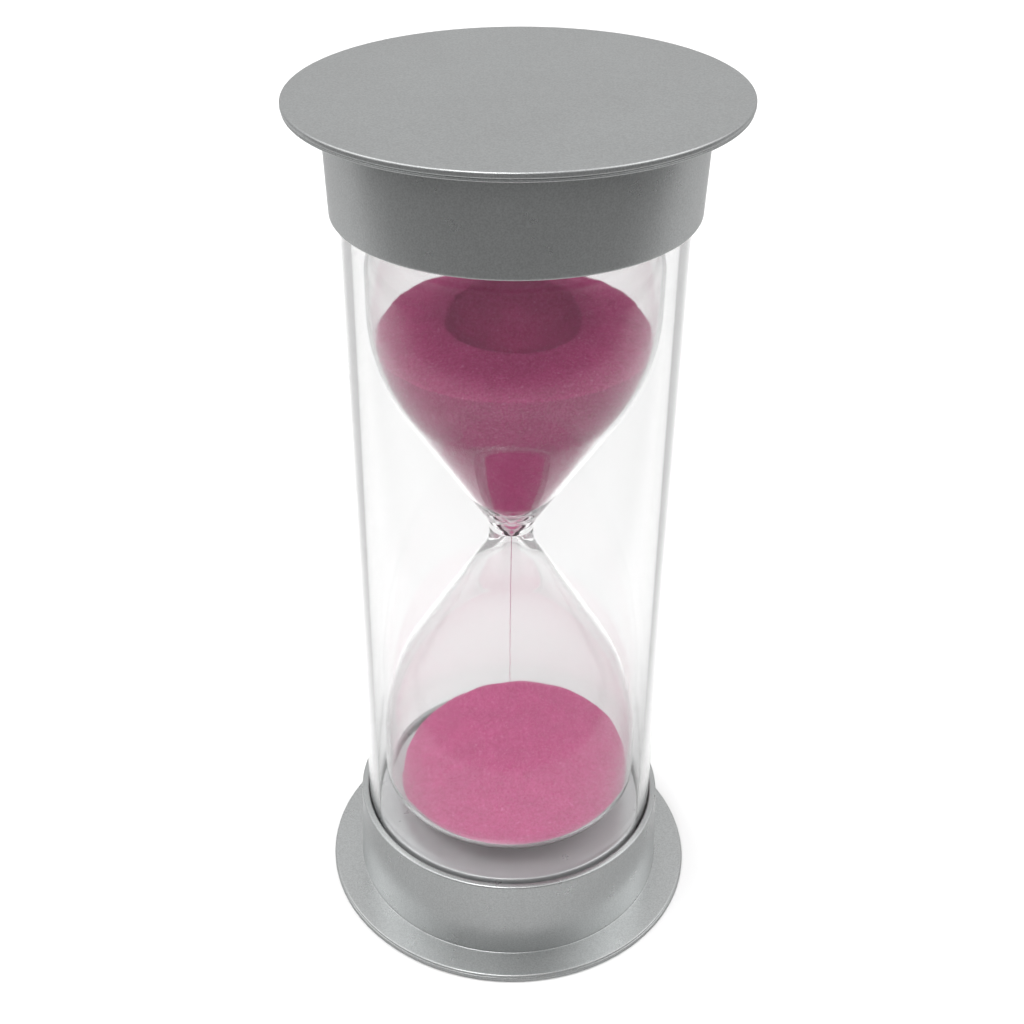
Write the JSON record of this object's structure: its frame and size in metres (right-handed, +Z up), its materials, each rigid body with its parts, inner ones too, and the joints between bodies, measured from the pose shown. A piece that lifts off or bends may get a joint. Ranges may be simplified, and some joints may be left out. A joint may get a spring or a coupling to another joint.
{
  "type": "hourglass",
  "caption": "Sand timer: a double glass bulb of pink sand inside a clear tube, held between two round silver caps and turned over by hand.",
  "frame": {"origin": "centre of the face that it stands on, the underside of the lower end plate", "axes": "+Z up along the axis of the tube, from the lower end plate to the upper one; +X to the viewer's right, +Y to the back"},
  "size_m": [0.0724, 0.0724, 0.16],
  "materials": {
    "silver_plate": "satin",
    "silver_cap": "satin",
    "clear_plastic": "gloss",
    "bulb_glass": "polished",
    "pink_sand": "matte",
    "stopper_rubber": "matte",
    "foam": "matte"
  },
  "bodies": {
    "root": {"lower_end_plate": "silver_plate", "lower_cap": "silver_cap", "lower_cushion": "foam", "clear_tube": "clear_plastic", "glass_bulb": "bulb_glass", "fill_stopper": "stopper_rubber", "upper_sand": "pink_sand", "falling_sand": "pink_sand", "lower_sand": "pink_sand", "upper_cushion": "foam", "upper_cap": "silver_cap", "upper_end_plate": "silver_plate"}
  },
  "joints": []
}
